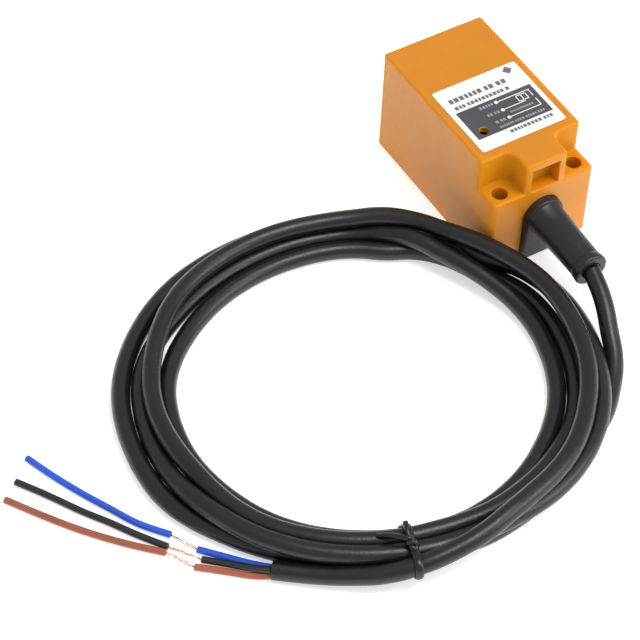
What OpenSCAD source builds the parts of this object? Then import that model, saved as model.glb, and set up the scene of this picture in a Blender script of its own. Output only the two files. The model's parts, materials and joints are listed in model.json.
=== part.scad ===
// Block inductive proximity sensor with a moulded three-core lead, wound into a tied coil.
// +Z is up, +Y points out of the sensing face, and the origin is the middle of the base.

/* [Housing] */
// Width of the housing, side to side
body_w = 30; // [29:0.5:34]
// Length of the housing, cable end to sensing face
body_l = 53; // [52:0.5:58]
// Height of the housing, base to top
body_h = 32; // [31.5:0.5:35]
// Thickness of the side, end and top walls
wall = 1.8; // [1.5:0.1:2]
// Thickness of the wall behind the sensing face
face_wall = 1.2; // [1:0.1:1.6]
// Radius of the upright edges
edge_r = 1.2; // [0.6:0.1:1.5]

/* [Mounting] */
// Diameter of the two screw bores
screw_d = 4.2; // [4.2:0.1:4.6]
// Distance between the screw bores
screw_pitch = 22.4; // [22:0.1:23]
// Distance from the cable end to the screw bores
screw_setback = 3.5; // [3.2:0.1:3.9]
// Width of each corner notch
notch_w = 8.9; // [8.5:0.1:9.2]
// Length of each corner notch
notch_l = 7.4; // [7:0.1:8]
// Depth of each corner notch below the top
notch_drop = 9.3; // [8.8:0.1:9.6]
// Radius of each notch's inner corner
notch_r = 2.6; // [1:0.1:3.5]

/* [Nameplate] */
// Width of the nameplate
plate_w = 25.2; // [24:0.1:26]
// Length of the nameplate
plate_l = 24; // [22:0.1:25]
// Distance from the cable end to the nameplate
plate_setback = 10; // [9.5:0.1:12]
// Diameter of the indicator's window
window_d = 2.8; // [2.6:0.1:3]

/* [Cable] */
// Outer diameter of the cable's jacket
cable_d = 4.7; // [4.4:0.1:4.9]
// Outer diameter of one insulated core
core_d = 1.7; // [1.4:0.1:1.8]
// Diameter of a core's bare copper
copper_d = 0.8; // [0.6:0.1:1]

/* [Cable boot] */
// Length of the boot outside the housing
boot_l = 22.5; // [21:0.5:25]
// Diameter of the boot's sleeve where it leaves its plate
boot_root_d = 9.8; // [9.2:0.1:10.2]
// Diameter of the boot's sleeve before its end bead
boot_tip_d = 8.8; // [8.4:0.1:9]
// Diameter of the bead at the boot's end
bead_d = 9.4; // [9.2:0.1:10]
// Angle by which the sleeve droops
boot_droop = 2; // [0:0.5:6]

/* [Cable coil] */
// Inner radius of the wound coil
coil_inner_r = 42; // [40:0.5:44]
// Outer radius of the wound coil
coil_outer_r = 57; // [55:0.5:57.5]
// Height of the wound coil
coil_h = 11.5; // [10:0.5:13]

/* [Hidden] */
$fn = 48;
cut = 0.1;
cable_end = -body_l / 2;
sense_end = body_l / 2;
step_z = body_h - notch_drop;
roof_z = body_h - wall;
inner_w = body_w - 2 * wall;
screw_y = cable_end + screw_setback;
boss_r = screw_d / 2 + 1.6;

// The notch's walls stand inside the housing, so its upper cavity starts behind them
deck_z = step_z - wall;
upper_y = cable_end + notch_l + wall;

// Moulding pocket in the end of the rib between the notches
pocket_w = 8.2;
pocket_h = 7.2;
pocket_depth = 3.6;
pocket_z = step_z - 0.3;

// Arched slot in the end wall, and the boot that fills it
slot_w = 11.2;
slot_top = 19;
slot_fit = 0.1;
boot_plate_t = 2.2;
boot_flange_t = 1.2;
boot_flange_lip = 1.4;
boot_z = slot_top - slot_w / 2;
boot_tail_l = 5;
bead_l = 2.4;
bead_slope = 1.4;
bead_chamfer = 1.2;

// Indicator
led_x = -8.2;
led_y = cable_end + 16.4;
led_r = 1.5;
led_h = 5.2;
led_rim = 0.4;
led_rim_h = 1;
led_top = roof_z - 0.2;
led_leg_x = 0.8;
leg_d = 0.5;

// Nameplate
plate_t = 0.2;
plate_r = 0.7;
plate_y = cable_end + plate_setback + plate_l / 2;

// Potting and circuit board
potting_top = 5;
board_l = 32.5;
board_t = 1.6;
board_z = 17.4;
board_top = board_z + board_t;
board_y = cable_end + 10.4;
stop_w = 1.4;
stop_depth = 1.6;
stop_ys = [board_y + 5, board_y + board_l - 4];
joint_r = 0.9;

// Pot core, bobbin and winding behind the sensing face
core_r = 10.4;
core_l = 7;
core_back = 2;
core_wall = 1.8;
core_post_r = 4;
core_slot_w = 3;
core_z = 16.2;
core_face_y = sense_end - face_wall;
spool_r = 8.3;
spool_l = 4.8;
spool_flange = 0.6;
spool_hub_r = 4.9;
spool_bore_r = core_post_r + 0.1;
winding_r = 7.7;
winding_y = core_face_y - core_l + core_back + spool_flange;

// The winding's two leads run back over the core and turn down to the board
coil_lead_x = 0.8;
coil_lead_z = core_z + 6.3;
coil_lead_reach = 2.8;
coil_lead_end_y = board_y + board_l - 1.5;
coil_lead_bend = 0.6;

// Chips and other parts on the board
chip_l = 5;
chip_w = 4;
chip_h = 1.6;
chip_lift = 0.2;
chip_x = -5;
chip_y = board_y + 15;
pin_t = 0.3;
pin_pitch = 1.27;
pin_reach = 1;
pin_w = 0.45;
pin_h = 1;
resistor_l = 2;
resistor_w = 1.25;
resistor_h = 0.6;
resistor_end = 0.35;
resistor_spots = [for (i = [0:5]) [-11 + 3.2 * (i % 3), board_y + 20 + 3.4 * floor(i / 3)]];
ceramic_spots = [for (i = [0:3]) [2 + 3 * i, board_y + 23.4]];
ceramic_h = 1.3;
smoothing_r = 2.5;
smoothing_h = 7.4;
smoothing_leg_x = 1;
smoothing_spot = [8.6, board_y + 5.5];
transistor_spot = [8, board_y + 15];
transistor_r = 2.3;
transistor_h = 4.6;
transistor_lift = 1.5;
transistor_leg_pitch = 1.3;
diode_r = 1.3;
diode_l = 4.2;
diode_span = 8;
diode_spots = [[1.4, board_y + 3.4], [1.4, board_y + 7.4]];

// Insulated leads from the jacket's inner end to the underside of the board
inner_lead_d = 0.85;
inner_lead_pitch = 2.4;
inner_lead_fan = 0.95;
inner_lead_rise = 0.3;
inner_lead_bend = 1.4;
inner_lead_y = board_y + 1.6;

// Free cable, as centre points in millimetres
boot_tip = [0, cable_end - boot_l * cos(boot_droop), boot_z - boot_l * sin(boot_droop)];
coil_centre = [-68.5, -48];
RUN = [
    boot_tip, [-0.5, -53.3, 11.9], [-2.2, -57.8, 9.9], [-3.9, -62.2, 7.9], [-5.6, -66.6, 6], [-8.8, -71.4, 4.1],
    [-13.5, -76.4, 2.9], [-19, -81.6, 2.5], [-25.6, -85.8, 2.4], [-33.4, -90, 2.4], [-40.6, -93.2, 2.4]
];
TAIL = [
    [-82.9, -99.2, 7.9], [-90, -95.8, 6.5], [-96, -92.2, 5.1], [-101.5, -88.7, 3.8], [-106.8, -85.1, 2.8],
    [-111, -81.6, 2.4]
];

// The three cores and the cut insulation slugs pulled half off them
CORE_BROWN = [[-111.2, -82.4, 1.3], [-115, -80, 1], [-119, -76.5, 0.9], [-125.5, -71, 0.9]];
CORE_BLACK = [[-111.4, -81.8, 2.9], [-114.5, -79, 2.4], [-118, -75, 1.4], [-123, -70, 0.9]];
CORE_BLUE = [[-110.4, -81.2, 2.3], [-114, -77, 1.4], [-118.5, -71.5, 0.9], [-122.5, -67, 0.9]];
SLUG_BROWN = [
    [-129.2, -64.2, 0.9], [-134, -59.4, 0.9], [-139, -53.9, 0.9], [-144.5, -47, 0.9], [-150, -39, 0.9],
    [-154.5, -32, 0.9]
];
SLUG_BLACK = [
    [-128, -63, 0.9], [-132.5, -56.5, 0.9], [-136.5, -50, 0.9], [-140.5, -44, 0.9], [-145.5, -35.5, 0.9],
    [-150, -28.5, 0.9]
];
SLUG_BLUE = [
    [-125.8, -60.3, 0.9], [-130.8, -53.7, 0.9], [-134.5, -46.5, 0.9], [-138, -39.5, 0.9], [-141.5, -31.5, 0.9],
    [-144.5, -23.5, 0.9]
];

// Twisted wire tie round the coil
tie_angle = -107;
tie_t = 0.9;
tie_w = 2.2;
tie_tail_d = 1.4;
tie_tail_l = 6;
tie_tail_lift = 10;
tie_tail_turns = [-30, 0];
tie_knot_r = coil_outer_r - 6.5;

// ---- shared shapes ----

// Rectangle with round corners, centred
module rounded_rect(w, l, r) {
    square([w - 2 * r, l], center = true);
    square([w, l - 2 * r], center = true);
    for (x = [-1, 1], y = [-1, 1]) translate([x * (w / 2 - r), y * (l / 2 - r)]) circle(r);
}

// Arch with a round top, standing on z = 0, as a slab that starts at y and runs towards +Y
module arch(w, top, y, t) {
    translate([0, y + t, 0]) rotate([90, 0, 0]) linear_extrude(t) {
        translate([-w / 2, 0]) square([w, top - w / 2]);
        translate([0, top - w / 2]) circle(w / 2);
    }
}

// Ring or disc whose axis runs along +Y from y
module ring_y(outer_r, inner_r, y, l) {
    translate([0, y, core_z]) rotate([-90, 0, 0]) difference() {
        cylinder(r = outer_r, h = l);
        if (inner_r > 0) translate([0, 0, -cut]) cylinder(r = inner_r, h = l + 2 * cut);
    }
}

// A leg or lead standing upright through the board, from one height to another
module upright(spot, low, high, d = leg_d) translate([spot[0], spot[1], low]) cylinder(d = d, h = high - low);

// Places children in the boot's own frame: +Z runs out along its drooping axis
module on_boot_axis() translate([0, cable_end, boot_z]) rotate([90 + boot_droop, 0, 0]) children();

function unit(v) = v / norm(v);

// Catmull-Rom point at t, from 0 to 1, between points b and c
function spline(a, b, c, d, t) =
    0.5 * (2 * b + (c - a) * t + (2 * a - 5 * b + 4 * c - d) * t * t + (3 * b - a - 3 * c + d) * t * t * t);

// Route through hand-placed points, with extra points between them
function smooth(p, steps) = let (last = len(p) - 1) [
    for (i = [0:last - 1], s = [0:steps - 1])
        spline(p[max(i - 1, 0)], p[i], p[i + 1], p[min(i + 2, last)], s / steps),
    p[last]
];

// Corners of the tube's section at point i of the path
function section(path, i, r, sides) =
    let (
        along = unit(path[min(i + 1, len(path) - 1)] - path[max(i - 1, 0)]),
        side = unit(cross(along, [0, 0, 1])),
        up = cross(side, along)
    )
    [for (k = [0:sides - 1]) path[i] + r * (side * cos(360 * k / sides) + up * sin(360 * k / sides))];

// Round tube swept along a route
module tube(route, d, sides = 8, steps = 1) {
    path = smooth(route, steps);
    last = len(path) - 1;
    polyhedron(
        points = [for (i = [0:last]) each section(path, i, d / 2, sides)],
        faces = [
            [for (k = [0:sides - 1]) k],
            [for (k = [sides - 1:-1:0]) last * sides + k],
            for (i = [0:last - 1], k = [0:sides - 1])
                let (a = i * sides, b = a + sides, n = (k + 1) % sides)
                    each [[a + k, b + k, b + n], [a + k, b + n, a + n]]
        ]
    );
}

// ---- housing ----

module notch(side) {
    inner_x = body_w / 2 - notch_w;
    translate([0, 0, step_z]) linear_extrude(notch_drop + cut) scale([side, 1]) {
        translate([inner_x + notch_r, cable_end - cut]) square([notch_w - notch_r + cut, notch_l + cut]);
        translate([inner_x, cable_end - cut]) square([notch_w + cut, notch_l - notch_r + cut]);
        translate([inner_x + notch_r, cable_end + notch_l - notch_r]) circle(notch_r);
    }
}

// Column of plastic round a screw bore, joined to the corner
module screw_boss(side) {
    x = side * screw_pitch / 2;
    translate([x, screw_y, -cut]) cylinder(r = boss_r, h = step_z);
    translate([side > 0 ? x : -body_w / 2, cable_end, -cut])
        cube([(body_w - screw_pitch) / 2, screw_setback + boss_r, step_z]);
    translate([x - boss_r, cable_end, -cut]) cube([2 * boss_r, screw_setback, step_z]);
}

// Stops that the circuit board is pushed up against
module board_stops() {
    for (side = [-1, 1], y = stop_ys)
        translate([side > 0 ? inner_w / 2 - stop_depth : -inner_w / 2 - cut, y, board_top])
            cube([stop_depth + cut, stop_w, body_h - board_top]);
}

// Space inside the housing
module cavity() {
    difference() {
        translate([-inner_w / 2, cable_end + wall, -cut])
            cube([inner_w, body_l - wall - face_wall, roof_z + cut]);
        translate([-body_w / 2, cable_end, deck_z]) cube([body_w, upper_y - cable_end, body_h]);
        for (side = [-1, 1]) screw_boss(side);
        board_stops();
    }
}

module housing() {
    color("#f0a040") difference() {
        linear_extrude(body_h) rounded_rect(body_w, body_l, edge_r);
        cavity();
        for (side = [-1, 1]) {
            notch(side);
            translate([side * screw_pitch / 2, screw_y, -cut]) cylinder(d = screw_d, h = body_h);
        }
        translate([-pocket_w / 2, cable_end - cut, pocket_z]) cube([pocket_w, pocket_depth + cut, pocket_h]);
        translate([0, 0, -cut]) arch(slot_w, slot_top + cut, cable_end - cut, wall + 2 * cut);
        translate([led_x, led_y, roof_z - cut]) cylinder(d = window_d, h = wall + 2 * cut);
    }
}

module nameplate() {
    color("white") translate([0, plate_y, body_h]) difference() {
        linear_extrude(plate_t) rounded_rect(plate_w, plate_l, plate_r);
        translate([led_x, led_y - plate_y, -cut]) cylinder(d = window_d, h = plate_t + 2 * cut);
    }
}

// ---- cable boot ----

// Flange of the boot inside the end wall
module boot_flange()
    arch(slot_w + 2 * boot_flange_lip, slot_top + boot_flange_lip, cable_end + wall, boot_flange_t);

module cable_boot() {
    color("#333336") difference() {
        union() {
            arch(slot_w - 2 * slot_fit, slot_top - slot_fit, cable_end - boot_plate_t, boot_plate_t + wall);
            boot_flange();
            on_boot_axis() rotate_extrude() polygon([
                [0, -wall], [boot_root_d / 2, -wall], [boot_root_d / 2, boot_plate_t + bead_l],
                [boot_tip_d / 2, boot_l - bead_l], [bead_d / 2, boot_l - bead_l],
                [bead_d / 2, boot_l - bead_slope], [bead_d / 2 - bead_chamfer, boot_l], [0, boot_l]
            ]);
        }
        on_boot_axis() translate([0, 0, -boot_tail_l - cut])
            cylinder(d = cable_d, h = boot_l + boot_tail_l + 2 * cut);
    }
}

module cable_in_boot() {
    color("#2b2b2e") on_boot_axis() translate([0, 0, -boot_tail_l])
        cylinder(d = cable_d, h = boot_l + boot_tail_l);
}

// ---- inside the housing ----

module potting_resin() {
    color("#3a3a3a") difference() {
        intersection() {
            cavity();
            translate([-body_w, -body_l, 0]) cube([2 * body_w, 2 * body_l, potting_top]);
        }
        boot_flange();
    }
}

module circuit_board() {
    color("#2f6b3a") difference() {
        translate([-inner_w / 2, board_y, board_z]) cube([inner_w, board_l, board_t]);
        for (spot = leg_spots()) upright(spot, board_z - cut, board_top + cut);
    }
}

module ferrite_core() {
    color("#4a4a4e") difference() {
        union() {
            ring_y(core_r, core_r - core_wall, core_face_y - core_l, core_l);
            ring_y(core_post_r, 0, core_face_y - core_l, core_l);
            ring_y(core_r - core_wall / 2, 0, core_face_y - core_l, core_back);
        }
        translate([-core_slot_w / 2, core_face_y - core_l - cut, core_z + core_post_r + 1])
            cube([core_slot_w, core_l + 2 * cut, core_r]);
    }
}

module coil_bobbin() {
    spool_y = core_face_y - core_l + core_back;
    color("#d8c9a8") difference() {
        union() {
            ring_y(spool_hub_r, spool_bore_r, spool_y, spool_l);
            for (y = [0, spool_l - spool_flange])
                ring_y(spool_r, spool_bore_r, spool_y + y, spool_flange);
        }
        translate([-core_slot_w / 2, spool_y - cut, core_z + spool_hub_r])
            cube([core_slot_w, spool_flange + 2 * cut, spool_r]);
    }
}

module sense_coil() color("#b5652f") ring_y(winding_r, spool_hub_r, winding_y, spool_l - 2 * spool_flange);

module coil_leads() {
    color("#b5652f") for (x = [-1, 1] * coil_lead_x) tube([
        [x, winding_y, coil_lead_z],
        [x, winding_y - coil_lead_reach, coil_lead_z],
        [x, coil_lead_end_y + coil_lead_bend, coil_lead_z - coil_lead_bend],
        [x, coil_lead_end_y, board_top + 2 * coil_lead_bend],
        [x, coil_lead_end_y - coil_lead_bend, board_top]
    ], leg_d);
}

module indicator_led() {
    color("#8a1f1f") translate([led_x, led_y, led_top - led_h]) {
        cylinder(r = led_r + led_rim, h = led_rim_h);
        cylinder(r = led_r, h = led_h - led_r);
        translate([0, 0, led_h - led_r]) sphere(led_r);
    }
}

function led_leg_spots() = [for (side = [-1, 1]) [led_x + side * led_leg_x, led_y]];
function transistor_leg_spots() = [for (i = [-1:1]) transistor_spot + [i * transistor_leg_pitch, 0]];
function diode_leg_spots() = [for (spot = diode_spots, side = [-1, 1]) spot + [side * diode_span / 2, 0]];
function smoothing_leg_spots() = [for (side = [-1, 1]) smoothing_spot + [side * smoothing_leg_x, 0]];
function leg_spots() =
    concat(led_leg_spots(), transistor_leg_spots(), diode_leg_spots(), smoothing_leg_spots());

module led_legs() {
    color("silver") for (spot = led_leg_spots()) upright(spot, board_z, led_top - led_h);
}

module oscillator_ic() {
    color("#26262a") translate([chip_x - chip_l / 2, chip_y - chip_w / 2, board_top + chip_lift])
        cube([chip_l, chip_w, chip_h]);
}

// Four pins down each long side, bent down to the board
module ic_pins() {
    color("silver") for (i = [0:3], side = [-1, 1]) {
        x = chip_x + (i - 1.5) * pin_pitch - pin_w / 2;
        translate([x, chip_y + side * chip_w / 2, board_top]) scale([1, side, 1]) {
            translate([0, 0, pin_h - pin_t]) cube([pin_w, pin_reach, pin_t]);
            translate([0, pin_reach - pin_t, 0]) cube([pin_w, pin_t, pin_h]);
        }
    }
}

module output_transistor() {
    color("#26262a") translate([transistor_spot[0], transistor_spot[1], board_top + transistor_lift])
        difference() {
            cylinder(r = transistor_r, h = transistor_h);
            translate([-transistor_r, transistor_r / 2, -cut])
                cube([2 * transistor_r, transistor_r, transistor_h + 2 * cut]);
        }
}

module transistor_legs() {
    color("silver") for (spot = transistor_leg_spots()) upright(spot, board_z, board_top + transistor_lift);
}

module resistors() {
    body_len = resistor_l - 2 * resistor_end;
    color("#1e1e20") for (spot = resistor_spots)
        translate([spot[0] - body_len / 2, spot[1], board_top]) cube([body_len, resistor_w, resistor_h]);
}

module resistor_ends() {
    color("silver") for (spot = resistor_spots, side = [-1, 1])
        translate([spot[0] + side * (resistor_l - resistor_end) / 2 - resistor_end / 2, spot[1], board_top])
            cube([resistor_end, resistor_w, resistor_h]);
}

module ceramic_capacitors() {
    color("#b89a6a") for (spot = ceramic_spots)
        translate([spot[0] - resistor_l / 2, spot[1], board_top]) cube([resistor_l, resistor_w, ceramic_h]);
}

module smoothing_capacitor() {
    color("#28304a") translate([smoothing_spot[0], smoothing_spot[1], board_top])
        cylinder(r = smoothing_r, h = smoothing_h);
}

module protection_diodes() {
    color("#1c1c1e") for (spot = diode_spots)
        translate([spot[0] - diode_l / 2, spot[1], board_top + diode_r]) rotate([0, 90, 0])
            cylinder(r = diode_r, h = diode_l);
}

// Each leg runs out of the diode's end and turns down through the board
module diode_legs() {
    color("silver") for (spot = diode_spots, side = [-1, 1]) {
        x = spot[0] + side * diode_span / 2;
        upright([x, spot[1]], board_z, board_top + diode_r + leg_d / 2);
        translate([side > 0 ? spot[0] + diode_l / 2 : x, spot[1], board_top + diode_r]) rotate([0, 90, 0])
            cylinder(d = leg_d, h = (diode_span - diode_l) / 2);
    }
}

// Domes of solder under the board, one for each leg
module solder_joints() {
    color("#c8c8cc") for (spot = leg_spots()) translate([spot[0], spot[1], board_z]) difference() {
        sphere(joint_r);
        translate([-joint_r, -joint_r, 0]) cube(2 * joint_r);
    }
}

// One insulated core from the jacket's inner end to the underside of the board
module inner_lead(i) {
    start_y = cable_end + boot_tail_l * cos(boot_droop);
    start_z = boot_z + boot_tail_l * sin(boot_droop);
    tube([
        [i * inner_lead_fan, start_y, start_z],
        [i * inner_lead_fan, start_y + 3, start_z + inner_lead_rise],
        [i * 2 * inner_lead_fan, inner_lead_y - 3, start_z + 2 * inner_lead_rise],
        [i * inner_lead_pitch, inner_lead_y - inner_lead_bend / 3, board_z - inner_lead_bend],
        [i * inner_lead_pitch, inner_lead_y, board_z]
    ], inner_lead_d);
}

module inner_lead_brown() color("#9b5a38") inner_lead(-1);
module inner_lead_black() color("#222222") inner_lead(0);
module inner_lead_blue() color("#3060d0") inner_lead(1);

// ---- free cable ----

module cable_run() color("#2b2b2e") tube(RUN, cable_d, 12, 1);

module cable_coil() {
    color("#2b2b2e") translate(coil_centre) rotate_extrude($fn = 96)
        translate([(coil_inner_r + coil_outer_r) / 2, coil_h / 2])
            rounded_rect(coil_outer_r - coil_inner_r, coil_h, cable_d / 2);
}

module cable_tail() color("#2b2b2e") tube(TAIL, cable_d, 12, 1);

module core_brown() color("#9b5a38") tube(CORE_BROWN, core_d, 8, 2);
module core_black() color("#222222") tube(CORE_BLACK, core_d, 8, 2);
module core_blue() color("#3060d0") tube(CORE_BLUE, core_d, 8, 2);

// Bare copper from a core's cut end to the face of its slug
module strands(core, slug) color("#c98a5a") tube([core[len(core) - 1], slug[0]], copper_d);

module strands_brown() strands(CORE_BROWN, SLUG_BROWN);
module strands_black() strands(CORE_BLACK, SLUG_BLACK);
module strands_blue() strands(CORE_BLUE, SLUG_BLUE);

module slug_brown() color("#9b5a38") tube(SLUG_BROWN, core_d, 8, 1);
module slug_black() color("#222222") tube(SLUG_BLACK, core_d, 8, 1);
module slug_blue() color("#3060d0") tube(SLUG_BLUE, core_d, 8, 1);

// Flat loop round the coil's section, with its two twisted ends lying inwards over the turns
module cable_tie() {
    loop_w = coil_outer_r - coil_inner_r + 2 * tie_t;
    loop_h = coil_h + tie_t;
    color("#2b2b2e") translate(coil_centre) rotate(tie_angle) {
        translate([(coil_inner_r + coil_outer_r) / 2, tie_w / 2, loop_h / 2]) rotate([90, 0, 0])
            linear_extrude(tie_w) difference() {
                rounded_rect(loop_w, loop_h, cable_d / 2);
                rounded_rect(loop_w - 2 * tie_t, loop_h - 2 * tie_t, cable_d / 2 - tie_t);
            }
        for (turn = tie_tail_turns)
            translate([tie_knot_r, 0, loop_h]) rotate([0, tie_tail_lift - 90, turn])
                cylinder(d = tie_tail_d, h = tie_tail_l);
    }
}

housing();
nameplate();
cable_boot();
potting_resin();
circuit_board();
ferrite_core();
coil_bobbin();
sense_coil();
coil_leads();
indicator_led();
led_legs();
oscillator_ic();
ic_pins();
output_transistor();
transistor_legs();
resistors();
resistor_ends();
ceramic_capacitors();
smoothing_capacitor();
protection_diodes();
diode_legs();
solder_joints();
inner_lead_brown();
inner_lead_black();
inner_lead_blue();
cable_in_boot();
cable_run();
cable_coil();
cable_tail();
cable_tie();
core_brown();
core_black();
core_blue();
strands_brown();
strands_black();
strands_blue();
slug_brown();
slug_black();
slug_blue();
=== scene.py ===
"""Looks of the block proximity sensor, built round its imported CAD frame. Metres, in the row frame."""

import json
import math
import random

import bmesh
import bpy
import numpy as np
from mathutils import Matrix, Vector


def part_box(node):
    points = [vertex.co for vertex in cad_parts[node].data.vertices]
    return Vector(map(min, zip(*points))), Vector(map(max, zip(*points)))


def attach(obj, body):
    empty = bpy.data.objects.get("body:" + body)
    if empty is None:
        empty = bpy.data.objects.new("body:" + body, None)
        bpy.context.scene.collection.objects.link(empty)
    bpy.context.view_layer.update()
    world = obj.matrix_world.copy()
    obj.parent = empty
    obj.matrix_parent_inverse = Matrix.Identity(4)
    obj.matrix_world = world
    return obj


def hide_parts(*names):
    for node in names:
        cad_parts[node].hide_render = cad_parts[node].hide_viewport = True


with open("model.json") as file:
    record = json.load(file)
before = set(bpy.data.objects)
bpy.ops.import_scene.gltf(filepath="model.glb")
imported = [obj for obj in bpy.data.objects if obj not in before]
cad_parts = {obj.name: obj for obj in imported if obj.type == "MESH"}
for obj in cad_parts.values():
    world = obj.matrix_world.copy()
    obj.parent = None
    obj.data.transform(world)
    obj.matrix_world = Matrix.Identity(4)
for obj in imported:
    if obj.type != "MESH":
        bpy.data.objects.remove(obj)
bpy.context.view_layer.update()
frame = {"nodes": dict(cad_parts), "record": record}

# ---- sizes, from the frame ----

BODY_LOW, BODY_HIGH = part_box("housing")
BODY_W = BODY_HIGH.x - BODY_LOW.x
BODY_H = BODY_HIGH.z
CABLE_END = BODY_LOW.y
HOLES = next(m for m in frame["record"]["mounts"] if m["name"] == "mounting_holes")
SCREW_X = HOLES["dims"]["spacing_x_mm"] / 2000
SCREW_Y = HOLES["pos_m"][1]
SCREW_R = HOLES["dims"]["hole_r_mm"] / 1000
STEP_Z = HOLES["pos_m"][2]
WALL = 0.0018
FACE_WALL = 0.0012  # wall behind the sensing face
PAST = 0.002  # how far a cutter reaches past what it cuts
NOTCH_W = 0.0089
NOTCH_L = 0.0074
NOTCH_R = 0.0026
POCKET_W = 0.0082
POCKET_H = 0.0072
POCKET_DEPTH = 0.0036
POCKET_Z = STEP_Z - 0.0003
LED_LOW, LED_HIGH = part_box("indicator_led")
LED_X = (LED_LOW.x + LED_HIGH.x) / 2
LED_Y = (LED_LOW.y + LED_HIGH.y) / 2
WINDOW_R = 0.0014
BOOT_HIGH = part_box("cable_boot")[1]
BOOT_LIP = 0.0014  # how far the boot's hidden flange reaches past its slot
SLOT_W = 2 * (BOOT_HIGH.x - BOOT_LIP)
SLOT_TOP = BOOT_HIGH.z - BOOT_LIP
BOOT_Z = SLOT_TOP - SLOT_W / 2
BOOT_L = 0.0225
BOOT_DROOP = math.radians(2)
BOOT_PLATE_T = 0.0022
PLATE_LOW, PLATE_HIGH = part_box("nameplate")
BOSS_R = SCREW_R + 0.0016
CABLE_D = 0.0047
CABLE_R = CABLE_D / 2
CORE_D = 0.0017

# ---- camera ----

CAMERA_TARGET = Vector((-0.0611, -0.02, 0))
CAMERA_DISTANCE = 0.6315
CAMERA_AZIMUTH = math.radians(-32.8)
CAMERA_ELEVATION = math.radians(48.7)
CAMERA_ROLL = math.radians(2.32)
CAMERA_LENS = 141.95


def add_camera():
    data = bpy.data.cameras.new("camera")
    data.lens = CAMERA_LENS
    camera = bpy.data.objects.new("camera", data)
    bpy.context.scene.collection.objects.link(camera)
    level = math.cos(CAMERA_ELEVATION)
    across, away = math.sin(CAMERA_AZIMUTH) * level, -math.cos(CAMERA_AZIMUTH) * level
    back = Vector((across, away, math.sin(CAMERA_ELEVATION)))
    turn = back.to_track_quat("Z", "Y").to_matrix() @ Matrix.Rotation(CAMERA_ROLL, 3, "Z")
    camera.matrix_world = Matrix.Translation(CAMERA_TARGET + back * CAMERA_DISTANCE) @ turn.to_4x4()
    bpy.context.scene.camera = camera


add_camera()

# ---- helpers ----

UP = Vector((0, 0, 1))
SAME_PLACE = 0.00002
FLAT_ANGLE = math.radians(1)
EDGE_ANGLE = math.radians(30)


def ride(piece):
    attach(piece, "root")


def new_object(name, data, material=None):
    piece = bpy.data.objects.new(name, data)
    bpy.context.scene.collection.objects.link(piece)
    if material:
        piece.data.materials.append(material)
    return piece


def mesh_object(name, bm, material=None):
    data = bpy.data.meshes.new(name)
    bmesh.ops.recalc_face_normals(bm, faces=bm.faces)
    bm.to_mesh(data)
    bm.free()
    return new_object(name, data, material)


def settled_copy(piece):
    """Applies the piece's modifiers to its mesh."""
    bpy.context.view_layer.update()
    graph = bpy.context.evaluated_depsgraph_get()
    done = bpy.data.meshes.new_from_object(piece.evaluated_get(graph))
    piece.modifiers.clear()
    piece.data = done


def curve_object(name, routes, diameter, material, sides, resolution=4):
    """Round tubes along one or more routes, smooth between their points."""
    data = bpy.data.curves.new(name, "CURVE")
    data.dimensions = "3D"
    data.bevel_depth = diameter / 2
    data.bevel_resolution = sides
    data.resolution_u = resolution
    data.use_fill_caps = True
    for route in routes:
        spline = data.splines.new("BEZIER")
        spline.bezier_points.add(len(route) - 1)
        for point, place in zip(spline.bezier_points, route):
            point.co = place
            point.handle_left_type = point.handle_right_type = "AUTO"
    return new_object(name, data, material)


def arc(centre, radius, start, end, parts):
    """Points on a circle from one angle to another, in degrees."""
    angles = [math.radians(start + (end - start) * i / parts) for i in range(parts + 1)]
    return [(centre[0] + radius * math.cos(a), centre[1] + radius * math.sin(a)) for a in angles]


def disc(x, y, radius, parts=32):
    return arc((x, y), radius, 0, 360, parts)[:-1]


def rectangle(low_x, low_y, high_x, high_y):
    return [(low_x, low_y), (high_x, low_y), (high_x, high_y), (low_x, high_y)]


def rounded_rectangle(low_x, low_y, high_x, high_y, radius):
    corners = ((high_x, high_y, 0), (low_x, high_y, 90), (low_x, low_y, 180), (high_x, low_y, 270))
    outline = []
    for x, y, turn in corners:
        centre_x = x - radius if x == high_x else x + radius
        centre_y = y - radius if y == high_y else y + radius
        outline += arc((centre_x, centre_y), radius, turn, turn + 90, 6)
    return outline


def arch_outline(width, top, bottom):
    half = width / 2
    return [*arc((0, top - half), half, 0, 180, 24), (-half, bottom), (half, bottom)]


def bridge(bm, rings, closed=False):
    """Faces between each ring of points and the next."""
    after = rings[1:] + rings[:1] if closed else rings[1:]
    for ring, other in zip(rings, after):
        for i in range(len(ring)):
            n = (i + 1) % len(ring)
            bm.faces.new((ring[i], ring[n], other[n], other[i]))


def prism(outline, low, high, axis="z", bm=None):
    """A solid with this outline, along z or along y."""
    bm = bm or bmesh.new()
    rings = []
    for level in (low, high):
        places = [(x, y, level) if axis == "z" else (x, level, y) for x, y in outline]
        rings.append([bm.verts.new(place) for place in places])
    bridge(bm, rings)
    bm.faces.new(rings[0][::-1])
    bm.faces.new(rings[1])
    bmesh.ops.recalc_face_normals(bm, faces=bm.faces)
    return bm


def block(low, high):
    return prism(rectangle(low[0], low[1], high[0], high[1]), low[2], high[2])


def ring_at(bm, place, along, outline, up=UP):
    """An outline of (sideways, up) offsets, square to a direction."""
    side = along.cross(up).normalized()
    top = side.cross(along)
    return [bm.verts.new(place + side * a + top * b) for a, b in outline]


def directions(line, closed=False):
    after = line[1:] + (line[:1] if closed else [line[-1]])
    before = (line[-1:] if closed else [line[0]]) + line[:-1]
    return [(b - a).normalized() for a, b in zip(before, after)]


def sweep_loop(bm, line, outline, up):
    """An outline carried round a closed line of Vectors."""
    rings = [ring_at(bm, place, along, outline, up) for place, along in zip(line, directions(line, True))]
    bridge(bm, rings, True)
    return bm


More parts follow.
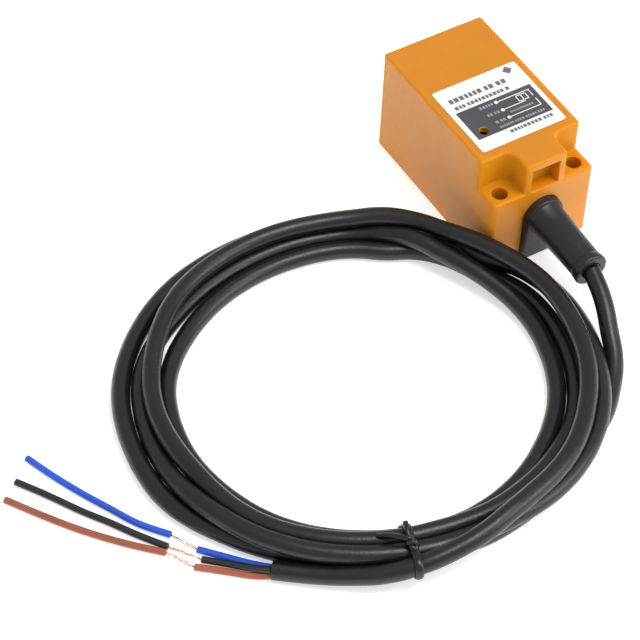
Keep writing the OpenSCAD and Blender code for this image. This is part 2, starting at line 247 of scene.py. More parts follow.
def lathe(bm, profile, start, along, parts=64):
    """Turns (distance, radius) points round an axis."""
    rings = []
    for distance, radius in profile:
        rings.append(ring_at(bm, start + along * distance, along, disc(0, 0, radius, parts)))
    bridge(bm, rings)
    bm.faces.new(rings[0][::-1])
    bm.faces.new(rings[-1])
    return bm


def crease(piece, degrees=35):
    """Smooth shading, with sharp edges where faces meet at more than this angle."""
    piece.data.shade_smooth()
    piece.data.set_sharp_from_angle(angle=math.radians(degrees))
    return piece


def carve(piece, cutters):
    """Cuts solids out of a piece."""
    tools = [mesh_object(f"cutter{i}", bm) for i, bm in enumerate(cutters)]
    for tool in tools:
        cut = piece.modifiers.new("cut", "BOOLEAN")
        cut.operation = "DIFFERENCE"
        cut.solver = "EXACT"
        cut.object = tool
    settled_copy(piece)
    for tool in tools:
        bpy.data.objects.remove(tool)


def round_edges(piece, width, segments, weight, profile=0.5):
    """Bevels each edge by weight(middle of the edge) of the width."""
    bm = bmesh.new()
    bm.from_mesh(piece.data)
    bmesh.ops.remove_doubles(bm, verts=bm.verts, dist=SAME_PLACE)
    bmesh.ops.dissolve_limit(bm, angle_limit=FLAT_ANGLE, verts=bm.verts, edges=bm.edges)
    weights = bm.edges.layers.float.new("bevel_weight_edge")
    for edge in bm.edges:
        if edge.is_manifold and edge.calc_face_angle(0) > EDGE_ANGLE:
            middle = (edge.verts[0].co + edge.verts[1].co) / 2
            edge[weights] = weight(*middle)
    bm.to_mesh(piece.data)
    bm.free()
    bevel = piece.modifiers.new("bevel", "BEVEL")
    bevel.limit_method = "WEIGHT"
    bevel.width = width
    bevel.segments = segments
    bevel.profile = profile
    bevel.use_clamp_overlap = False
    settled_copy(piece)


# ---- the free cable ----

RUN = [
    (0, -0.04899, 0.01261), (-0.0005, -0.0533, 0.0119), (-0.0022, -0.0578, 0.0099),
    (-0.0039, -0.0622, 0.0079), (-0.0056, -0.0666, 0.006), (-0.0088, -0.0714, 0.0041),
    (-0.0135, -0.0764, 0.0029), (-0.019, -0.0816, 0.0025), (-0.0256, -0.0858, 0.0024),
    (-0.0334, -0.09, 0.0024), (-0.0406, -0.0932, 0.0024),
]
TAIL = [
    (-0.0829, -0.0992, 0.0079), (-0.09, -0.0958, 0.0065), (-0.096, -0.0922, 0.0051),
    (-0.1015, -0.0887, 0.0038), (-0.1068, -0.0851, 0.0028), (-0.111, -0.0816, 0.0024),
]
# Each turn of the coil goes clockwise round its eye, with a (radius, height) at every 30 degrees
EYE = (-0.0645, -0.045)
TURN_START = -90
TURN_STEP = 30
LYING = 0.0024  # height of a strand that lies on the floor
TURNS = [
    [
        (0.0532, LYING), (0.0523, LYING), (0.0545, LYING), (0.0572, LYING),
        (0.0581, LYING), (0.0566, LYING), (0.0546, LYING), (0.0538, LYING),
        (0.0525, 0.0046), (0.0573, 0.0052), (0.0588, 0.0052), (0.0568, 0.0066),
    ],
    [
        (0.0535, 0.0069), (0.0536, 0.0069), (0.0542, 0.0069), (0.0538, 0.0044),
        (0.0537, LYING), (0.0505, LYING), (0.0494, LYING), (0.0499, 0.0032),
        (0.0457, 0.0064), (0.0481, 0.0034), (0.0482, LYING), (0.0475, LYING),
    ],
    [
        (0.0476, LYING), (0.0472, LYING), (0.0474, LYING), (0.0473, LYING),
        (0.0472, LYING), (0.0451, LYING), (0.0447, LYING), (0.0471, LYING),
        (0.0502, LYING), (0.0522, LYING), (0.0521, 0.0028), (0.0516, 0.0044),
    ],
    [
        (0.0501, 0.006), (0.0501, 0.0062), (0.0512, 0.0062), (0.0516, 0.0061),
        (0.0512, 0.0065), (0.0514, 0.0066), (0.0508, 0.0064), (0.0508, 0.0064),
        (0.0509, 0.0092), (0.0537, 0.0104), (0.055, 0.0096), (0.0554, 0.0104),
    ],
    [(0.0555, 0.0097)],
]


def coil_guide():
    """The given line of the whole coil."""
    stops = [stop for turn in TURNS for stop in turn]
    guide = []
    for i, (radius, height) in enumerate(stops):
        angle = math.radians(TURN_START - TURN_STEP * i)
        guide.append((EYE[0] + radius * math.cos(angle), EYE[1] + radius * math.sin(angle), height))
    return guide


def evenly_spaced(line, step):
    lengths = np.linalg.norm(np.diff(line, axis=0), axis=1)
    along = np.concatenate([[0], np.cumsum(lengths)])
    at = np.linspace(0, along[-1], round(along[-1] / step) + 1)
    return np.stack([np.interp(at, along, line[:, k]) for k in range(3)], axis=1)


def smooth_line(points, step):
    """A smooth Catmull-Rom line through the points, cut into even steps."""
    p = np.array(points, float)
    p = np.vstack([2 * p[0] - p[1], p, 2 * p[-1] - p[-2]])
    t = np.linspace(0, 1, 24, endpoint=False)[:, None]
    spans = []
    for a, b, c, d in zip(p[:-3], p[1:-2], p[2:-1], p[3:]):
        bend = (2 * a - 5 * b + 4 * c - d) * t**2
        twist = (3 * b - a - 3 * c + d) * t**3
        spans.append(0.5 * (2 * b + (c - a) * t + bend + twist))
    return evenly_spaced(np.vstack([*spans, p[-2]]), step)


STEP = 0.002
TOUCH = 1.02 * CABLE_D  # how near two strands' middles come
NEAR = 1.5 * CABLE_D
ROUNDS = 400
PULL = 0.02  # share of the way back to the given line, each round
SAG = 0.00001
STIFFNESS = 0.25


def near_pairs(p):
    """Places of the cable that are near each other but well apart along it."""
    distance = np.linalg.norm(p[:, None] - p[None], axis=2)
    return np.nonzero(np.triu(distance < NEAR, round(3 * CABLE_D / STEP)))


def press_apart(p, i, j):
    """Moves the near places of the cable off each other."""
    away = p[i] - p[j]
    distance = np.linalg.norm(away, axis=1)
    push = np.maximum(TOUCH - distance, 0) / 2
    away *= (push / np.maximum(distance, 1e-9))[:, None]
    move = np.zeros_like(p)
    np.add.at(move, i, away)
    np.add.at(move, j, -away)
    touching = np.bincount(i[push > 0], minlength=len(p)) + np.bincount(j[push > 0], minlength=len(p))
    crowding = 0.3 + 0.7 * np.maximum(touching, 1)
    p[2:-2] += (move / crowding[:, None])[2:-2]


def keep_off_housing(p):
    """Moves places of the cable out of the housing's walls, seen from above."""
    wall = np.clip(p[:, :2], BODY_LOW.xy, BODY_HIGH.xy)
    off_wall = p[:, :2] - wall
    distance = np.linalg.norm(off_wall, axis=1)
    near = (distance < CABLE_R) & (distance > 0)
    p[near, :2] = wall[near] + off_wall[near] / distance[near, None] * CABLE_R


def settle(guide):
    """Lets a laid cable settle on the floor. It is stiff, and its turns press each other apart."""
    p = guide.copy()
    for count in range(ROUNDS):
        if count % 10 == 0:
            i, j = near_pairs(p)
        p[1:-1] += PULL * (guide[1:-1] - p[1:-1])
        p[1:-1, 2] -= SAG
        offset = p - guide
        offset[1:-1] += STIFFNESS * (offset[:-2] + offset[2:] - 2 * offset[1:-1])
        p = guide + offset
        press_apart(p, i, j)
        p[:, 2] = np.maximum(p[:, 2], CABLE_R)
        keep_off_housing(p)
        p[0], p[-1] = guide[0], guide[-1]
    return p


settled = settle(smooth_line([*RUN, *coil_guide(), *TAIL], STEP))
cable_line = [Vector(place) for place in settled]
cable_points = [*cable_line[:-3:4], cable_line[-1]]

# ---- materials ----


class Finish:
    """A node material round one Principled shader. Its patterns are laid out in the row frame."""

    def __init__(self, name, roughness, metallic=0.0, **sockets):
        self.material = bpy.data.materials.new(name)
        self.material.use_nodes = True
        self.nodes = self.material.node_tree.nodes
        self.links = self.material.node_tree.links
        self.shader = self.nodes["Principled BSDF"]
        self.shader.inputs["Roughness"].default_value = roughness
        self.shader.inputs["Metallic"].default_value = metallic
        for socket, value in sockets.items():
            self.shader.inputs[socket.replace("_", " ")].default_value = value
        self.place = self.nodes.new("ShaderNodeTexCoord").outputs["Object"]

    def noise(self, size, detail=3):
        """A pattern whose features are about size metres across."""
        texture = self.nodes.new("ShaderNodeTexNoise")
        texture.inputs["Scale"].default_value = 1 / size
        texture.inputs["Detail"].default_value = detail
        self.links.new(self.place, texture.inputs["Vector"])
        return texture.outputs["Fac"]

    def spread(self, factor, low, high):
        """Stretches a noise's usual range, 0.3 to 0.7, to low to high."""
        node = self.nodes.new("ShaderNodeMapRange")
        node.inputs["From Min"].default_value = 0.3
        node.inputs["From Max"].default_value = 0.7
        node.inputs["To Min"].default_value = low
        node.inputs["To Max"].default_value = high
        self.links.new(factor, node.inputs["Value"])
        return node.outputs["Result"]

    def blend(self, factor, first, second):
        """A colour between two others."""
        node = self.nodes.new("ShaderNodeMix")
        node.data_type = "RGBA"
        self.links.new(factor, node.inputs["Factor"])
        node.inputs[6].default_value = (*first, 1)
        node.inputs[7].default_value = (*second, 1)
        return node.outputs[2]

    def colour(self, socket):
        self.links.new(socket, self.shader.inputs["Base Color"])

    def rough(self, socket):
        self.links.new(socket, self.shader.inputs["Roughness"])

    def bump(self, height, depth):
        node = self.nodes.new("ShaderNodeBump")
        node.inputs["Strength"].default_value = 1.0
        node.inputs["Distance"].default_value = depth
        self.links.new(height, node.inputs["Height"])
        self.links.new(node.outputs["Normal"], self.shader.inputs["Normal"])


def shade(colour, by):
    return tuple(min(1, c * by) for c in colour)


def moulded(name, colour, roughness, grain, depth, mottle=0.12, **sockets):
    """Moulded plastic or rubber: a fine grain, slight flow marks and uneven gloss."""
    finish = Finish(name, roughness, **sockets)
    cloud = finish.spread(finish.noise(0.012, 4), 0, 1)
    finish.colour(finish.blend(cloud, shade(colour, 1 - mottle), shade(colour, 1 + mottle)))
    finish.rough(finish.spread(finish.noise(0.0022, 5), roughness - 0.06, roughness + 0.06))
    finish.bump(finish.noise(grain, 2), depth)
    return finish.material


def metal(name, colour, roughness):
    finish = Finish(name, roughness, metallic=1.0)
    cloud = finish.spread(finish.noise(0.0015), 0, 1)
    finish.colour(finish.blend(cloud, shade(colour, 0.8), shade(colour, 1.1)))
    finish.rough(finish.spread(finish.noise(0.0006), roughness - 0.08, roughness + 0.12))
    finish.bump(finish.noise(0.0003), 0.00002)
    return finish.material


ORANGE = (0.66, 0.24, 0.004)
# A more saturated orange for the housing's edges, notches and hollows: a painted glow that stands in for
# light shining through the plastic at its edges.
PAINTED_EDGE_GLOW_ORANGE = (0.65, 0.252, 0.002)
JACKET = (0.008, 0.008, 0.0105)

GLOW_DEPTH = {"Subsurface_Radius": (0.003, 0.001, 0.0002), "Subsurface_Scale": 1.0}
FINE_GRAIN = 0.0004
INK_GRAIN = 0.0003
INK_DEPTH = 0.000005

housing_finish = moulded("housing_abs", ORANGE, 0.42, FINE_GRAIN, 0.00003, mottle=0.04,
                         Subsurface_Weight=0.5, **GLOW_DEPTH)
# Painted edge glow: a more saturated, more matte copy of the housing plastic for its edges, notches and
# hollows, standing in for light shining through them.
housing_painted_glow_finish = moulded("housing_abs_painted_edge_glow", PAINTED_EDGE_GLOW_ORANGE, 0.55, FINE_GRAIN, 0.00003, mottle=0.04,
                              Subsurface_Weight=0.7, Specular_IOR_Level=0.2, **GLOW_DEPTH)
jacket_finish = moulded("cable_jacket_pvc", JACKET, 0.34, 0.0005, 0.00004)
boot_finish = moulded("boot_rubber", shade(JACKET, 1.5), 0.4, FINE_GRAIN, 0.00003)
core_finishes = {
    "brown": moulded("core_brown_pvc", (0.36, 0.10, 0.055), 0.4, FINE_GRAIN, 0.00002),
    "black": moulded("core_black_pvc", (0.02, 0.02, 0.022), 0.4, FINE_GRAIN, 0.00002),
    "blue": moulded("core_blue_pvc", (0.022, 0.10, 0.62), 0.38, FINE_GRAIN, 0.00002),
}
copper_finish = metal("bare_copper", (0.86, 0.45, 0.30), 0.32)
sticker_finish = moulded("label_vinyl", (0.86, 0.86, 0.85), 0.38, 0.0006, 0.00001, mottle=0.02)
dark_ink = moulded("label_dark_ink", (0.07, 0.07, 0.078), 0.4, INK_GRAIN, INK_DEPTH)
text_ink = moulded("label_text_ink", (0.15, 0.15, 0.16), 0.4, INK_GRAIN, INK_DEPTH)
grey_ink = moulded("label_grey_ink", (0.32, 0.32, 0.33), 0.42, INK_GRAIN, INK_DEPTH)
tie_finish = moulded("tie_pvc", JACKET, 0.3, 0.0006, 0.00003)
white_ink = moulded("label_white_ink", (0.82, 0.82, 0.80), 0.42, INK_GRAIN, INK_DEPTH)

# ---- cable ----

cable = curve_object("cable", [cable_points], CABLE_D, jacket_finish, sides=10, resolution=6)
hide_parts("cable_run", "cable_coil", "cable_tail")
ride(cable)

# ---- housing ----

HOUSING_EDGE_R = 0.0013
ON = 0.0001  # how near to an edge or a wall counts as on it
AT_HOLE = 0.0002
# How far edges are rounded, as shares of the widest rounding
SCREW_SHARE = 0.12
WINDOW_SHARE = 0.15
BASE_SHARE = 0.25
POCKET_MOUTH_SHARE = 0.3
POCKET_INSIDE_SHARE = 0.15
SLOT_SHARE = 0.12
NOTCH_SHARE = 0.75


def notch_cutter(side):
    inner = BODY_W / 2 - NOTCH_W
    outer = BODY_W / 2 + PAST
    depth = CABLE_END + NOTCH_L
    corner = arc((inner + NOTCH_R, depth - NOTCH_R), NOTCH_R, 90, 180, 8)
    outline = [(outer, depth), *corner, (inner, CABLE_END - PAST), (outer, CABLE_END - PAST)]
    return prism([(side * x, y) for x, y in outline], STEP_Z, BODY_H + PAST)


def cavity_cutters():
    """The hollow under the notches, between the screw bosses, and the hollow beyond them."""
    half = BODY_W / 2 - WALL
    inner_end = CABLE_END + WALL
    upper_end = CABLE_END + NOTCH_L + WALL
    face = BODY_HIGH.y - FACE_WALL
    boss_x = SCREW_X - BOSS_R
    boss_y = SCREW_Y + BOSS_R
    cross = [
        (-boss_x, inner_end), (boss_x, inner_end), (boss_x, boss_y), (half, boss_y),
        (half, face), (-half, face), (-half, boss_y), (-boss_x, boss_y),
    ]
    yield prism(cross, -PAST, STEP_Z - WALL)
    yield block((-half, upper_end, STEP_Z - 2 * WALL), (half, face, BODY_H - WALL))


def housing_cutters():
    for side in (-1, 1):
        yield notch_cutter(side)
        yield prism(disc(side * SCREW_X, SCREW_Y, SCREW_R), -PAST, BODY_H)
    pocket_low = (-POCKET_W / 2, CABLE_END - PAST, POCKET_Z)
    pocket_high = (POCKET_W / 2, CABLE_END + POCKET_DEPTH, POCKET_Z + POCKET_H)
    yield block(pocket_low, pocket_high)
    yield prism(arch_outline(SLOT_W, SLOT_TOP, -PAST), CABLE_END - PAST, CABLE_END + WALL + PAST / 4, "y")
    yield prism(disc(LED_X, LED_Y, WINDOW_R), BODY_H - 2 * WALL, BODY_H + PAST)
    yield from cavity_cutters()


def edge_rounding(x, y, z):
    """How far an edge of the housing is rounded, as a share of the widest rounding."""
    ax = abs(x)
    below_top = z < BODY_H - ON
    in_body = CABLE_END + NOTCH_L + WALL / 2 < y < BODY_HIGH.y - ON
    if math.hypot(ax - SCREW_X, y - SCREW_Y) < SCREW_R + AT_HOLE:
        return SCREW_SHARE
    if math.hypot(x - LED_X, y - LED_Y) < WINDOW_R + AT_HOLE:
        return WINDOW_SHARE
    if z < ON:
        return BASE_SHARE
    if POCKET_W / 2 + ON < ax < BODY_W / 2 - WALL / 2 and z < STEP_Z - ON:
        return 0
    if in_body and ax < BODY_W / 2 - ON and below_top:
        return 0
    if ax < POCKET_W / 2 + ON and below_top:
        return POCKET_MOUTH_SHARE if y < CABLE_END + ON and z > POCKET_Z - ON else POCKET_INSIDE_SHARE
    if ax < SLOT_W / 2 + ON and z < SLOT_TOP + ON:
        return SLOT_SHARE
    return 1.0 if ax > BODY_W / 2 - ON or y > BODY_HIGH.y - ON else NOTCH_SHARE


def on_outside(place):
    """Whether a place is on one of the housing's broad outer faces."""
    above = place - BODY_LOW
    below = BODY_HIGH - place
    return min(above.x, above.y, *below) < ON / 10


def build_housing():
    """The shell: its broad faces have one finish, and its edges, notches and hollows a more saturated, more
    matte copy of it, a painted glow that stands in for light shining through the plastic.
    """
    housing = mesh_object("housing_shell", block(BODY_LOW, BODY_HIGH))
    carve(housing, housing_cutters())
    housing.data.materials.append(housing_finish)
    housing.data.materials.append(housing_painted_glow_finish)
    round_edges(housing, HOUSING_EDGE_R, 5, edge_rounding, profile=0.7)
    # Broad outer faces take the plain plastic; every other face takes the painted edge glow.
    for face in housing.data.polygons:
        face.material_index = 0 if on_outside(face.center) else 1
    crease(housing, 40)
    shading = housing.modifiers.new("shading", "WEIGHTED_NORMAL")
    shading.keep_sharp = True
    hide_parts("housing")
    ride(housing)


build_housing()

# ---- boot ----

BOOT_CLEARANCE = 0.0001  # between the boot's plate and the housing's slot
BOOT_FLOOR_GAP = 0.0005
BOOT_EDGE_R = 0.0005
BEAD_L = 0.0026
GATE_R = 0.0003
GATE_ALONG = 0.0068
GATE_OUT = Vector((-0.0045, 0, 0.0013))


def boot_profile():
    """(distance from the end wall, radius) along the boot, from its root to inside its mouth."""
    root = BOOT_PLATE_T
    bead = BOOT_L - BEAD_L
    return [
        (-WALL, 0.0045), (root - 0.0001, 0.0052), (root + 0.0002, 0.0051), (root + 0.0007, 0.00478),
        (root + 0.006, 0.00466), (bead - 0.006, 0.00446), (bead - 0.0008, 0.0044), (bead - 0.0002, 0.00433),
        (bead, 0.00436), (bead + 0.0002, 0.0045), (bead + 0.0008, 0.0046), (bead + 0.0018, 0.0047),
        (bead + 0.0021, 0.00468), (BOOT_L - 0.0003, 0.00455), (BOOT_L - 0.0001, 0.00435),
        (BOOT_L, 0.004), (BOOT_L, 0.003), (BOOT_L - 0.0001, 0.0026),
        (BOOT_L - 0.0006, CABLE_R + 0.0001), (BOOT_L - 0.002, CABLE_R),
    ]


def build_boot():
    along = Vector((0, -math.cos(BOOT_DROOP), -math.sin(BOOT_DROOP)))
    start = Vector((0, CABLE_END, BOOT_Z))
    plate_w = SLOT_W - 2 * BOOT_CLEARANCE
    plate_outline = arch_outline(plate_w, SLOT_TOP - BOOT_CLEARANCE, BOOT_FLOOR_GAP)
    plate_bm = prism(plate_outline, CABLE_END - BOOT_PLATE_T, CABLE_END + WALL, "y")
    plate = mesh_object("boot_plate", plate_bm)
    round_edges(plate, BOOT_EDGE_R, 4, lambda x, y, z: 1.0 if y < CABLE_END - BOOT_PLATE_T / 2 else 0)
    bm = bmesh.new()
    bm.from_mesh(plate.data)
    bpy.data.objects.remove(plate)
    prism(arch_outline(2 * BOOT_HIGH.x, BOOT_HIGH.z, 0), CABLE_END + WALL, BOOT_HIGH.y, "y", bm)
    lathe(bm, boot_profile(), start, along)
    # the mould's gate mark
    gate = bmesh.ops.create_uvsphere(bm, u_segments=12, v_segments=8, radius=GATE_R)["verts"]
    bmesh.ops.translate(bm, verts=gate, vec=start + along * GATE_ALONG + GATE_OUT)
    boot = crease(mesh_object("boot", bm, boot_finish), 40)
    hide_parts("cable_boot")
    ride(boot)


build_boot()

# ---- label ----

LABEL_TOP = PLATE_LOW.z + 0.00014
INK_TOP = PLATE_LOW.z + 0.00017
WHITE_TOP = PLATE_HIGH.z
LABEL_CORNER_R = 0.0007
PANEL = (-0.0111, -0.0123, 0.0113, -0.0016)
# Rows of plain blocks where the label has small print: first x, last x, y, height
DARK_ROWS = [
    (-0.0103, 0.0066, 0.0026, 0.0015),
    (-0.0103, 0.006, -0.0001, 0.0011),
    (-0.0025, 0.0103, -0.0136, 0.001),
]
FAINT_ROWS = [
    (-0.005, -0.001, -0.0031, 0.0009),
    (-0.0045, -0.001, -0.0062, 0.0009),
    (-0.004, -0.001, -0.0092, 0.0009),
    (0.0014, 0.0084, -0.0078, 0.0006),
    (-0.004, 0.01, -0.0111, 0.0007),
]
MARK_X = 0.0092
MARK_Y = 0.0055
MARK_R = 0.0014
# The wiring diagram
LINE = 0.00014  # half the width of a line
TERMINAL_X = 0.0001
TERMINAL_R = 0.00055
WIRE_X = 0.0005
RISER_X = 0.0098
WIRE_YS = (-0.0031, -0.0062, -0.0092)
WIRE_ENDS = (0.0101, 0.0068, RISER_X)
RISERS = [(-0.0055, WIRE_YS[0]), (WIRE_YS[2], -0.0066)]
LOAD_XS = (0.0056, 0.0084)
LOAD_YS = (-0.0057, -0.0037)
LOAD_WIRE_X = 0.007


def window_cutter():
    return prism(disc(LED_X, LED_Y, WINDOW_R), PLATE_LOW.z - PAST, PLATE_HIGH.z + PAST)


def greeked(bm, low_x, high_x, y, height, level, rng):
    """A row of plain blocks where a label has a line of small print."""
    x = low_x
    top = level + (WHITE_TOP - INK_TOP)
    while x < high_x:
        width = min(height * rng.uniform(0.55, 0.95), high_x - x)
        prism(rectangle(x, y - height / 2, x + width, y + height / 2), level, top, "z", bm)
        x += width + height * (0.28 if rng.random() < 0.8 else 0.7)


def print_rows(rows, level, rng):
    bm = bmesh.new()
    for low_x, high_x, y, height in rows:
        greeked(bm, low_x, high_x, y, height, level, rng)
    return bm


def wiring_print():
    """The wiring diagram in white ink: three terminals, their wires and the boxed load between them."""
    bm = bmesh.new()

    def across(low_x, high_x, y):
        prism(rectangle(low_x, y - LINE, high_x, y + LINE), INK_TOP, WHITE_TOP, "z", bm)

    def upright(x, low_y, high_y):
        prism(rectangle(x - LINE, low_y, x + LINE, high_y), INK_TOP, WHITE_TOP, "z", bm)

    for y, end in zip(WIRE_YS, WIRE_ENDS):
        prism(disc(TERMINAL_X, y, TERMINAL_R, 20), INK_TOP, WHITE_TOP, "z", bm)
        across(WIRE_X, end, y)
    for low, high in RISERS:
        upright(RISER_X, low, high)
    for x in LOAD_XS:
        upright(x, *LOAD_YS)
    for y in LOAD_YS:
        across(*LOAD_XS, y)
    upright(LOAD_WIRE_X, WIRE_YS[1], WIRE_YS[0])
    return bm


def build_label():
    rng = random.Random(7)
    outline = rounded_rectangle(PLATE_LOW.x, PLATE_LOW.y, PLATE_HIGH.x, PLATE_HIGH.y, LABEL_CORNER_R)
    label = mesh_object("label", prism(outline, PLATE_LOW.z, LABEL_TOP), sticker_finish)
    carve(label, [window_cutter()])
    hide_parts("nameplate")
    panel = mesh_object("label_panel", prism(rectangle(*PANEL), LABEL_TOP, INK_TOP), dark_ink)
    carve(panel, [window_cutter()])
    dark = print_rows(DARK_ROWS, LABEL_TOP, rng)
    prism(arc((MARK_X, MARK_Y), MARK_R, 180, 540, 4)[:-1], LABEL_TOP, INK_TOP, "z", dark)
    faint = print_rows(FAINT_ROWS, INK_TOP, rng)
    wiring = mesh_object("label_wiring", wiring_print(), white_ink)
    dark_print = mesh_object("label_dark_print", dark, text_ink)
    faint_print = mesh_object("label_faint_print", faint, grey_ink)
    for piece in (label, panel, wiring, dark_print, faint_print):
        ride(piece)


build_label()

# ---- wires ----

CORE_LINES = {
    "brown": [
        (-0.1112, -0.0824, 0.0013), (-0.115, -0.08, 0.001), (-0.119, -0.0765, 0.0009),
        (-0.1255, -0.071, 0.0009),
    ],
    "black": [
        (-0.1114, -0.0818, 0.0029), (-0.1145, -0.079, 0.0024), (-0.118, -0.075, 0.0014),
        (-0.123, -0.07, 0.0009),
    ],
    "blue": [
        (-0.1104, -0.0812, 0.0023), (-0.114, -0.077, 0.0014), (-0.1185, -0.0715, 0.0009),
        (-0.1225, -0.067, 0.0009),
    ],
}
SLUG_LINES = {
    "brown": [
        (-0.1292, -0.0642), (-0.134, -0.0594), (-0.139, -0.0539), (-0.1445, -0.047),
        (-0.15, -0.039), (-0.1545, -0.032),
    ],
    "black": [
        (-0.128, -0.063), (-0.1325, -0.0565), (-0.1365, -0.05), (-0.1405, -0.044),
        (-0.1455, -0.0355), (-0.15, -0.0285),
    ],
    "blue": [
        (-0.1258, -0.0603), (-0.1308, -0.0537), (-0.1345, -0.0465), (-0.138, -0.0395),
        (-0.1415, -0.0315), (-0.1445, -0.0235),
    ],
}
SLUG_Z = 0.0009
CORE_STEP = 0.0012
BORE_D = 0.0009
BORE_DEPTH = 0.0012
LIP = 0.00008  # how deep the rounded lip at a cut end is
STRAND_D = 0.00015
STRANDS = 4
STRAND_STEPS = 9
STRAND_HOLD = 0.001  # how far the copper reaches into each cut end
STRAND_SPREAD = 0.00014  # how far a wire runs from the middle of its bunch, at the cut ends
STRAND_SWELL = 0.0004  # how much further it may run half-way
STRAND_TWIST = 1.1 * math.pi
STRAND_HEIGHT = 0.55  # the bunch's height as a share of its width


def insulation(name, points, material):
    """A length of insulation, cut square at both ends, with its bore showing."""
    line = [Vector(p) for p in smooth_line(points, CORE_STEP)]
    ways = directions(line)
    outer, lip, bore = (disc(0, 0, share * CORE_D / 2, 20) for share in (1, 0.9, BORE_D / CORE_D))
    bm = bmesh.new()
    near_end = ((BORE_DEPTH, bore), (0, bore), (0, lip), (LIP, outer))
    far_end = ((-LIP, outer), (0, lip), (0, bore), (-BORE_DEPTH, bore))
    rings = [ring_at(bm, line[0] + ways[0] * depth, ways[0], outline) for depth, outline in near_end]
    rings += [ring_at(bm, place, along, outer) for place, along in zip(line[1:-1], ways[1:-1])]
    rings += [ring_at(bm, line[-1] + ways[-1] * depth, ways[-1], outline) for depth, outline in far_end]
    bridge(bm, rings)
    bm.faces.new(rings[0][::-1])
    bm.faces.new(rings[-1])
    return crease(mesh_object(name, bm, material))


def strand_line(start, end, turn, rng):
    """One fine wire of a loosely twisted bunch, resting on the floor or near it."""
    line = []
    lean = rng.uniform(0.2, 1.0)
    across = (end - start).cross(UP).normalized()
    for i in range(STRAND_STEPS + 1):
        t = i / STRAND_STEPS
        swell = STRAND_SPREAD + STRAND_SWELL * lean * math.sin(math.pi * t) ** 1.5
        angle = turn + STRAND_TWIST * t + rng.uniform(-0.5, 0.5)
        off = across * swell * math.cos(angle) + UP * swell * STRAND_HEIGHT * math.sin(angle)
        place = start.lerp(end, t) + off
        place.z = max(place.z, STRAND_D / 2)
        line.append(place)
    return line


def build_wires():
    rng = random.Random(11)
    for colour, core in CORE_LINES.items():
        slug = [(x, y, SLUG_Z) for x, y in SLUG_LINES[colour]]
        finish = core_finishes[colour]
        wire = insulation(f"wire_{colour}", core, finish)
        end = insulation(f"wire_end_{colour}", slug, finish)
        near, far = Vector(core[-1]), Vector(slug[0])
        hold = (far - near).normalized() * STRAND_HOLD
        lines = [strand_line(near - hold, far + hold, math.tau * i / STRANDS, rng) for i in range(STRANDS)]
        strands = curve_object(f"copper_{colour}", lines, STRAND_D, copper_finish, sides=2, resolution=3)
        for piece, node in ((wire, "core"), (end, "slug"), (strands, "strands")):
            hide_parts(f"{node}_{colour}")
            ride(piece)


build_wires()

# ---- tie ----

TIE_ANGLE = math.radians(-109.3)
TIE_W = 0.002
TIE_T = 0.0008
LOOP_PARTS = 72
TIE_STEP = 0.0005
KNOT_R = 0.0545  # how far the knot is from the coil's eye
KNOT_SLACK = 0.0004
KNOT_LIFT = 0.0007
TWIST = 1.6 * math.pi
TWIST_L = 0.0022
TWIST_PARTS = 6
TIE_END_D = 0.0014


def bundle_outline(outward):
    """The tie's loop round the turns of the cable, as (distance from the eye, height)."""
    strands = []
    for a, b in zip(cable_line, cable_line[1:]):
        from_eye = [(p.xy - Vector(EYE)) for p in (a, b)]
        side = [outward.cross(v) for v in from_eye]
        if side[0] * side[1] <= 0 and from_eye[0].dot(outward) > 0 and side[0] != side[1]:
            t = side[0] / (side[0] - side[1])
            distance = from_eye[0].lerp(from_eye[1], t).dot(outward)
            strands.append(Vector((distance, a.z + (b.z - a.z) * t)))
    loop = []
    for i in range(LOOP_PARTS):
        turn = math.tau * i / LOOP_PARTS
        way = Vector((math.cos(turn), math.sin(turn)))
        furthest = max(strands, key=lambda strand: strand.dot(way))
        loop.append(furthest + way * (CABLE_R + TIE_T / 2))
    return loop


def band_outline():
    """The band's section: flat, and slightly fuller in the middle."""
    outline = []
    for a in np.linspace(0, math.tau, 17)[:-1]:
        bulge = 1 + 0.15 * math.cos(a) ** 2
        outline.append((TIE_T / 2 * math.cos(a) * bulge, TIE_W / 2 * math.sin(a)))
    return outline


def from_the_eye(place):
    return (place.xy - Vector(EYE)).length


def tie_ends(knot, inward, across):
    """Two ends that twist round each other at the knot, then part."""
    twist_way = (inward * 0.9 - across * 0.45).normalized()
    tips = {
        0: inward * 0.0066 - across * 0.0006 + UP * 0.001,
        math.pi: inward * 0.0058 - across * 0.0072 - UP * 0.0016,
    }
    ends = []
    for phase, tip in tips.items():
        line = [knot - inward * TIE_T]
        for i in range(TWIST_PARTS + 1):
            angle = phase + TWIST * i / TWIST_PARTS
            swing = twist_way.cross(UP) * math.cos(angle) + UP * math.sin(angle)
            middle = knot + UP * KNOT_LIFT + twist_way * TWIST_L * i / TWIST_PARTS
            line.append(middle + swing * TIE_END_D / 2)
        line.append(line[-1].lerp(knot + tip, 0.5) + UP * 0.0005)
        line.append(knot + tip)
        ends.append(line)
    return ends


def build_tie():
    outward = Vector((math.cos(TIE_ANGLE), math.sin(TIE_ANGLE)))
    across = Vector((-outward.y, outward.x, 0))
    places = []
    for distance, height in bundle_outline(outward):
        x, y = EYE[0] + outward.x * distance, EYE[1] + outward.y * distance
        places.append((x, y, max(height, TIE_T / 2)))
    loop = [Vector(p) for p in evenly_spaced(np.array([*places, places[0]]), TIE_STEP)[:-1]]
    band = sweep_loop(bmesh.new(), loop, band_outline(), across)
    tie = crease(mesh_object("coil_tie", band, tie_finish), 60)
    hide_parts("cable_tie")
    ride(tie)
    knot = max((p for p in loop if abs(from_the_eye(p) - KNOT_R) < KNOT_SLACK), key=lambda p: p.z)
    ends = tie_ends(knot, Vector((-outward.x, -outward.y, 0)), across)
    ride(curve_object("tie_ends", ends, TIE_END_D, tie_finish, sides=4))


build_tie()

# ---- parts inside the housing ----

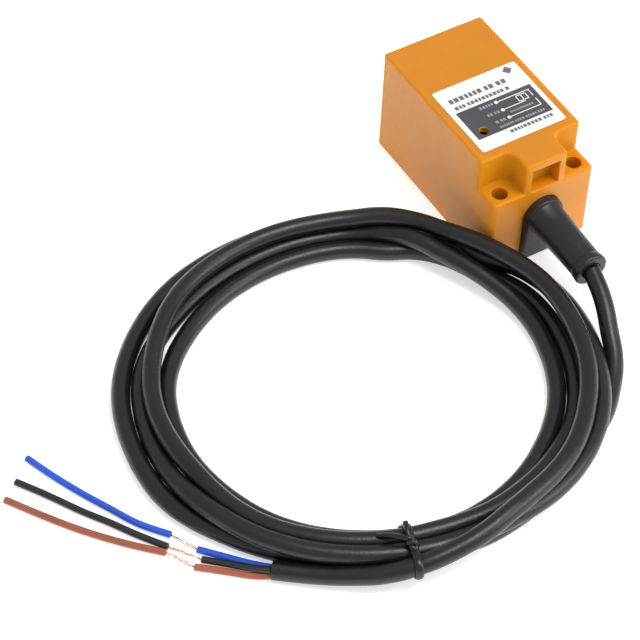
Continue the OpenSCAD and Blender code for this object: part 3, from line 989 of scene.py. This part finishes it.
inner_finishes = {
    "resin": moulded("potting_epoxy", (0.022, 0.022, 0.024), 0.3, 0.0015, 0.00012),
    "board": moulded("board_solder_mask", (0.02, 0.16, 0.05), 0.35, 0.0008, 0.00002),
    "ferrite": moulded("sintered_ferrite", (0.045, 0.045, 0.05), 0.55, 0.0002, 0.00004),
    "bobbin": moulded("bobbin_nylon", (0.62, 0.55, 0.40), 0.5, 0.0005, 0.00002),
    "copper": metal("enamelled_copper", (0.62, 0.24, 0.10), 0.28),
    "led_lens": moulded("lamp_lens", (0.09, 0.03, 0.012), 0.12, 0.0008, 0.00001),
    "tinned_metal": metal("tinned_legs", (0.78, 0.78, 0.76), 0.3),
    "solder": metal("solder_joint", (0.66, 0.66, 0.65), 0.24),
    "chip_black": moulded("chip_epoxy", (0.016, 0.016, 0.017), 0.55, 0.0002, 0.00002),
    "capacitor_ceramic": moulded("ceramic_chip", (0.46, 0.33, 0.19), 0.45, 0.0003, 0.00001),
    "capacitor_can": moulded("capacitor_sleeve", (0.02, 0.03, 0.09), 0.3, 0.0004, 0.00002),
}
for node in frame["nodes"].values():
    slot = node.data.materials[0].name
    if slot == "jacket":
        node.data.materials[0] = jacket_finish
    elif slot.startswith("core_"):
        node.data.materials[0] = core_finishes[slot.removeprefix("core_")]
    elif slot in inner_finishes:
        node.data.materials[0] = inner_finishes[slot]

# ---- floor, lights ----

FLOOR_SIZE = 3
FLOOR_GLOW = 0.5
ROOM_LIGHT = 0.58
LIGHT_POWER = 7


def add_floor():
    bm = bmesh.new()
    bmesh.ops.create_grid(bm, x_segments=1, y_segments=1, size=FLOOR_SIZE)
    floor = mesh_object("floor", bm)
    finish = Finish("floor_paper", 0.9, Emission_Color=(1, 1, 1, 1), Emission_Strength=FLOOR_GLOW)
    finish.colour(finish.blend(finish.noise(0.05), (0.93, 0.93, 0.93), (0.95, 0.95, 0.95)))
    floor.data.materials.append(finish.material)


def add_light(name, place, size):
    data = bpy.data.lights.new(name, "AREA")
    data.shape = "DISK"
    data.size = size
    data.energy = LIGHT_POWER
    light = bpy.data.objects.new(name, data)
    bpy.context.scene.collection.objects.link(light)
    light.location = place
    light.rotation_mode = "QUATERNION"
    light.rotation_quaternion = (Vector(place) - CAMERA_TARGET).to_track_quat("Z", "Y")


def add_world():
    world = bpy.data.worlds.new("studio")
    bpy.context.scene.world = world
    world.use_nodes = True
    background = world.node_tree.nodes["Background"]
    background.inputs["Color"].default_value = (1, 1, 1, 1)
    background.inputs["Strength"].default_value = ROOM_LIGHT


bpy.context.scene.view_settings.view_transform = "Standard"
add_floor()
add_world()
add_light("key", (0.15, -0.35, 1.1), 0.6)
add_light("fill", (0.9, -0.9, 0.7), 0.9)

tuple(RUN[0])
